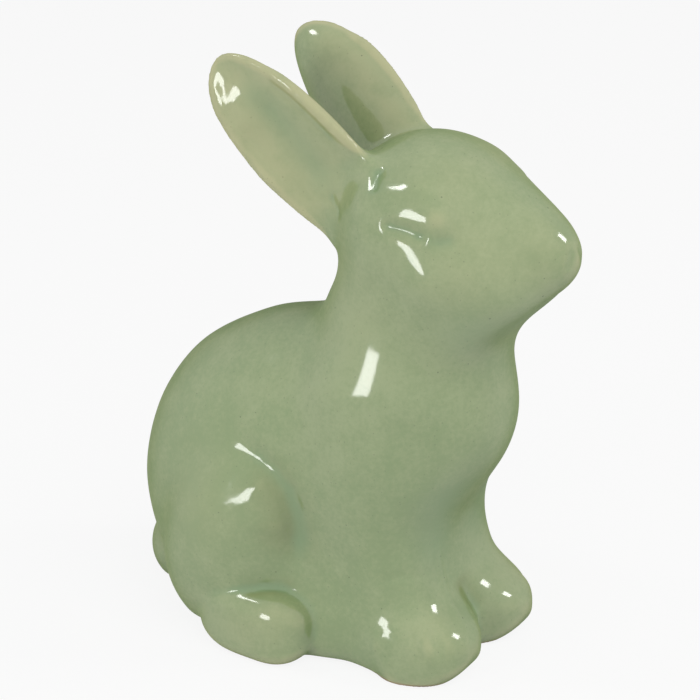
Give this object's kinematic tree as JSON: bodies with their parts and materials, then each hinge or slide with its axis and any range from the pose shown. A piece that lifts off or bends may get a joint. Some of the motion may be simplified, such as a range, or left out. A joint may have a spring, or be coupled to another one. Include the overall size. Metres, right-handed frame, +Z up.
{
  "type": "ceramic rabbit figurine",
  "caption": "Seated rabbit ornament in hollow slip-cast ceramic with a glossy celadon glaze, ears laid back, standing on a flat unglazed base.",
  "frame": {"origin": "on the table, under the middle of the figure's box", "axes": "-Y is the rabbit's front, +Z is up, +X is the rabbit's left"},
  "size_m": [0.0766, 0.1292, 0.157],
  "materials": {
    "celadon_glaze": "glossy, breaks to beige on edges and pools blue-green in creases",
    "bare_clay": "dry, unglazed"
  },
  "bodies": {
    "root": {"body_casting": "celadon_glaze", "head_casting": "celadon_glaze", "ear_left": "celadon_glaze", "ear_right": "celadon_glaze", "fore_paw_left": "celadon_glaze", "fore_paw_right": "celadon_glaze", "hind_foot_left": "celadon_glaze", "hind_foot_right": "celadon_glaze", "tail": "celadon_glaze", "base_disc": "bare_clay"}
  },
  "joints": []
}
